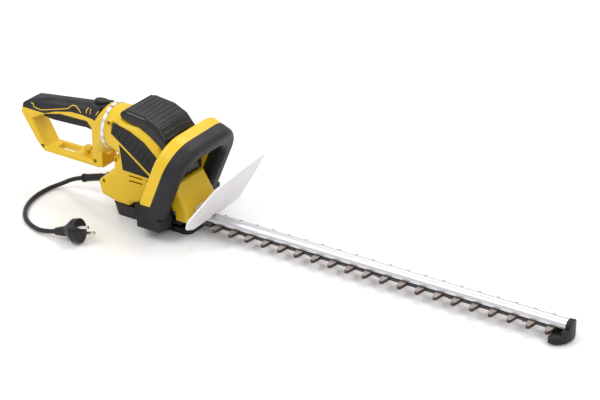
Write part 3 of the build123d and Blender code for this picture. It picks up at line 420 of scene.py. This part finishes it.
def settle(piece, name, finish, body):
    """Puts a modelled piece's place in its mesh, names it and lets it ride."""
    deselect()
    piece.select_set(True)
    bpy.context.view_layer.objects.active = piece
    bpy.ops.object.transform_apply(location=True, rotation=True, scale=True)
    piece.name = name
    piece.data.name = name
    piece.data.materials.clear()
    piece.data.materials.append(finish)
    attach(piece, body)
    return piece


def join(pieces):
    """Makes one piece of several."""
    deselect()
    for piece in pieces:
        piece.select_set(True)
    bpy.context.view_layer.objects.active = pieces[0]
    if len(pieces) > 1:
        bpy.ops.object.join()
    return pieces[0]


def rounded_bar(size, place, turn, bevel, taper=1.0):
    """A bar with rounded edges; its top face is drawn in by taper."""
    deselect()
    bpy.ops.mesh.primitive_cube_add(size=1, location=place, rotation=turn, scale=size)
    bar = bpy.context.object
    bpy.ops.object.mode_set(mode="EDIT")
    bpy.ops.mesh.select_mode(type="FACE")
    bpy.ops.mesh.select_all(action="DESELECT")
    bpy.ops.object.mode_set(mode="OBJECT")
    for face in bar.data.polygons:
        face.select = face.normal.z > 0.9
    bpy.ops.object.mode_set(mode="EDIT")
    bpy.ops.transform.resize(value=(taper, 1, 1))
    bpy.ops.object.mode_set(mode="OBJECT")
    bpy.ops.object.transform_apply(location=True, rotation=True, scale=True)
    rounding = bar.modifiers.new("rounding", "BEVEL")
    rounding.width = bevel
    rounding.segments = 3
    bpy.ops.object.modifier_apply(modifier="rounding")
    bpy.ops.object.shade_smooth_by_angle(angle=radians(50))
    return bar


FROM_OUTSIDE = 0.2            # how far out a look at the surface starts
LINE_STEPS = 6                # points on each stretch of an inlaid line


def surface_y(names, x, z, side):
    """How far out the named CAD nodes reach at (x, z) on one side, or None."""
    reach = []
    for name in names:
        start = Vector((x, side * FROM_OUTSIDE, z))
        hit, spot, _, _ = nodes[name].ray_cast(start, Vector((0, -side, 0)))
        if hit:
            reach.append(spot.y)
    return (max(reach) if side > 0 else min(reach)) if reach else None


def inlaid_line(points, names, width):
    """Raised lines that follow both sides of the named nodes, through points (x, z)."""
    made = []
    for side in (-1, 1):
        path = []
        for start, stop in zip(points, points[1:]):
            for step in range(LINE_STEPS):
                x = start[0] + (stop[0] - start[0]) * step / LINE_STEPS
                z = start[1] + (stop[1] - start[1]) * step / LINE_STEPS
                y = surface_y(names, x, z, side)
                if y is not None:
                    path.append((x, y, z))
        curve = bpy.data.curves.new("line", "CURVE")
        curve.dimensions = "3D"
        spline = curve.splines.new("NURBS")
        spline.points.add(len(path) - 1)
        for point, spot in zip(spline.points, path):
            point.co = (*spot, 1)
        spline.order_u = 4
        spline.use_endpoint_u = True
        spline.resolution_u = 3
        curve.bevel_depth = width / 2
        curve.bevel_resolution = 2
        curve.use_fill_caps = True
        line = bpy.data.objects.new("line", curve)
        scene.collection.objects.link(line)
        deselect()
        line.select_set(True)
        bpy.context.view_layer.objects.active = line
        bpy.ops.object.convert(target="MESH")
        made.append(bpy.context.object)
    return made


# ---------------------------------------------------------------- rear handle accents
GRIP_SIDE = ["handle_overmould", "handle_right", "handle_left"]
WAVE = [(-0.2365, 0.1370), (-0.2315, 0.1365), (-0.2310, 0.1330), (-0.2250, 0.1312), (-0.2156, 0.1306),
        (-0.1884, 0.1382), (-0.1650, 0.1446), (-0.1585, 0.1505), (-0.1515, 0.1510), (-0.1440, 0.1475),
        (-0.1388, 0.1432)]
ARCS = [[(-0.1275, 0.1540), (-0.1300, 0.1500), (-0.1295, 0.1450)],
        [(-0.1200, 0.1550), (-0.1225, 0.1510), (-0.1218, 0.1455)],
        [(-0.1062, 0.1549), (-0.1090, 0.1508), (-0.1118, 0.1467)]]
WAVE_WIDTH, ARC_WIDTH = 0.0015, 0.0017
accents = inlaid_line(WAVE, GRIP_SIDE, WAVE_WIDTH)
for arc in ARCS:
    accents += inlaid_line(arc, GRIP_SIDE, ARC_WIDTH)
settle(join(accents), "grip_accents", yellow_line, "rear_handle")

# ---------------------------------------------------------------- ribs over the motor cover
COVER_LINE = [(-0.050, 0.1760), (-0.040, 0.1782), (-0.006, 0.1742), (0.016, 0.1642),
              (0.027, 0.1512), (0.034, 0.1290)]
COVER_RIBS = (1, 4, 3, 2, 3)          # ribs on each stretch of the line
COVER_RIB = (0.0050, 0.0660, 0.016)   # along the line, across, and in depth
COVER_RIB_SUNK = 0.0073               # from the line in to the rib's middle
COVER_RIB_ROUNDING = 0.0019
RIB_TAPER = 0.6
ribs = []
for start, stop, count in zip(COVER_LINE, COVER_LINE[1:], COVER_RIBS):
    slope = Vector((stop[0] - start[0], 0, stop[1] - start[1]))
    turn = (0, -atan2(slope.z, slope.x), 0)
    for step in range(count):
        part = (step + 0.5) / count
        spot = Vector((start[0], 0, start[1])) + slope * part
        outward = Vector((-slope.z, 0, slope.x)).normalized()
        ribs.append(rounded_bar(COVER_RIB, spot - outward * COVER_RIB_SUNK, turn,
                                COVER_RIB_ROUNDING, RIB_TAPER))
settle(join(ribs), "cover_ribs", glossy_cover, "tool")

# ---------------------------------------------------------------- finger ribs inside the front grip
LEAN = radians(22)
LOOP_FOOT_X = 0.0032
FINGER_RIB_DEPTH = 0.0105             # how far forward of the loop's back the ribs lie
FINGER_RIB_LONG, FINGER_RIB_HIGH, FINGER_RIB_WIDE = 0.016, 0.0022, 0.0042
FINGER_RIB_ROUNDING, FINGER_RIB_TAPER = 0.0009, 0.8
SIDE_RIBS, SIDE_RIB_Y, SIDE_RIB_START, SIDE_RIB_STEP = 11, 0.0507, 0.052, 0.0062
CORNER_RIBS, CORNER_Y, CORNER_UP, CORNER_RADIUS = 9, 0.02475, 0.11475, 0.0260
UP_SLOPE = Vector((sin(LEAN), 0, cos(LEAN)))
OUT_FRONT = Vector((cos(LEAN), 0, -sin(LEAN)))


def on_loop(across_y, up, out):
    """A place on the leaning loop: across the tool, up its slope and out in front."""
    return Vector((LOOP_FOOT_X, across_y, 0)) + UP_SLOPE * up + OUT_FRONT * out


ribs = []
for step in range(SIDE_RIBS):
    spot = on_loop(SIDE_RIB_Y, SIDE_RIB_START + step * SIDE_RIB_STEP, FINGER_RIB_DEPTH)
    ribs.append(rounded_bar((FINGER_RIB_LONG, FINGER_RIB_HIGH, FINGER_RIB_WIDE), spot,
                            (radians(90), LEAN, 0), FINGER_RIB_ROUNDING, FINGER_RIB_TAPER))
for step in range(CORNER_RIBS):
    turn = radians(90 - (step + 0.5) * 90 / CORNER_RIBS)
    spot = on_loop(CORNER_Y + CORNER_RADIUS * sin(turn), CORNER_UP + CORNER_RADIUS * cos(turn),
                   FINGER_RIB_DEPTH)
    ribs.append(rounded_bar((FINGER_RIB_LONG, FINGER_RIB_WIDE, FINGER_RIB_HIGH), spot,
                            (-turn, LEAN, 0), FINGER_RIB_ROUNDING, FINGER_RIB_TAPER))
settle(join(ribs), "grip_ribs", soft_grip, "tool")

# ---------------------------------------------------------------- collars on the plug and boot
PLUG_START = Vector(CORD_ROUTE[-1])
PLUG_AXIS = Vector((0.959567, 0.169198, 0.224951))
PLUG_COLLARS, BOOT_COLLARS = 5, 7
BOOT_TIP, BOOT_AXIS = Vector(CORD_EXIT), Vector((0.95511, 0, 0.29608))


def collar(start, axis, along, radius, thick):
    """A ring round an axis, a way along it."""
    deselect()
    bpy.ops.mesh.primitive_torus_add(major_radius=radius, minor_radius=thick,
                                     major_segments=40, minor_segments=10,
                                     location=start + axis * along,
                                     rotation=axis.to_track_quat("Z", "Y").to_euler())
    bpy.ops.object.shade_smooth()
    return bpy.context.object


neck_rings = [collar(PLUG_START, PLUG_AXIS, 0.002 + 0.0036 * step, 0.0047 + 0.00055 * step, 0.0011)
              for step in range(PLUG_COLLARS)]
plug_collars = settle(join(neck_rings), "plug_collars", cord_rubber, "tool")
boot_rings = [collar(BOOT_TIP, BOOT_AXIS, 0.007 + 0.0048 * step, 0.0047, 0.0012)
              for step in range(BOOT_COLLARS)]
settle(join(boot_rings), "boot_collars", cord_rubber, "tool")

# ---------------------------------------------------------------- stage and light
deselect()
FLOOR_SIZE, SKY_STRENGTH = 14, 0.80
bpy.ops.mesh.primitive_plane_add(size=FLOOR_SIZE)
floor = bpy.context.object
floor.name = "floor"
floor_finish, floor_tree, floor_shader, floor_place = new_finish("floor_finish")
floor_tone = mix_colour(floor_tree, noise_node(floor_tree, floor_place, 1.5),
                        (0.90, 0.90, 0.90, 1), (0.93, 0.93, 0.93, 1))
floor_tree.links.new(floor_tone, floor_shader.inputs["Base Color"])
floor_shader.inputs["Roughness"].default_value = 0.16
floor.data.materials.append(floor_finish)

world = bpy.data.worlds.new("studio")
world.use_nodes = True
sky = world.node_tree.nodes["Background"]
sky.inputs["Color"].default_value = (1, 1, 1, 1)
sky.inputs["Strength"].default_value = SKY_STRENGTH
scene.world = world


def soft_box(name, place, aim, size, power):
    """A soft area light at a place, turned to what it lights."""
    light = bpy.data.lights.new(name, "AREA")
    light.shape = "RECTANGLE"
    light.size, light.size_y = size
    light.energy = power
    lamp = bpy.data.objects.new(name, light)
    scene.collection.objects.link(lamp)
    lamp.location = place
    lamp.rotation_euler = (Vector(aim) - Vector(place)).to_track_quat("-Z", "Y").to_euler()


soft_box("key_light", (-0.9, -1.3, 2.0), (0.1, 0, 0.05), (1.2, 1.0), 22)
soft_box("fill_light", (1.6, -0.8, 1.4), (0.1, 0, 0.05), (1.2, 0.8), 8)
soft_box("top_light", (0.3, 0.9, 1.8), (0.2, 0, 0.05), (1.8, 0.8), 16)

# ---------------------------------------------------------------- hand over
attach(mains_cord, "tool")
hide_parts("cord")
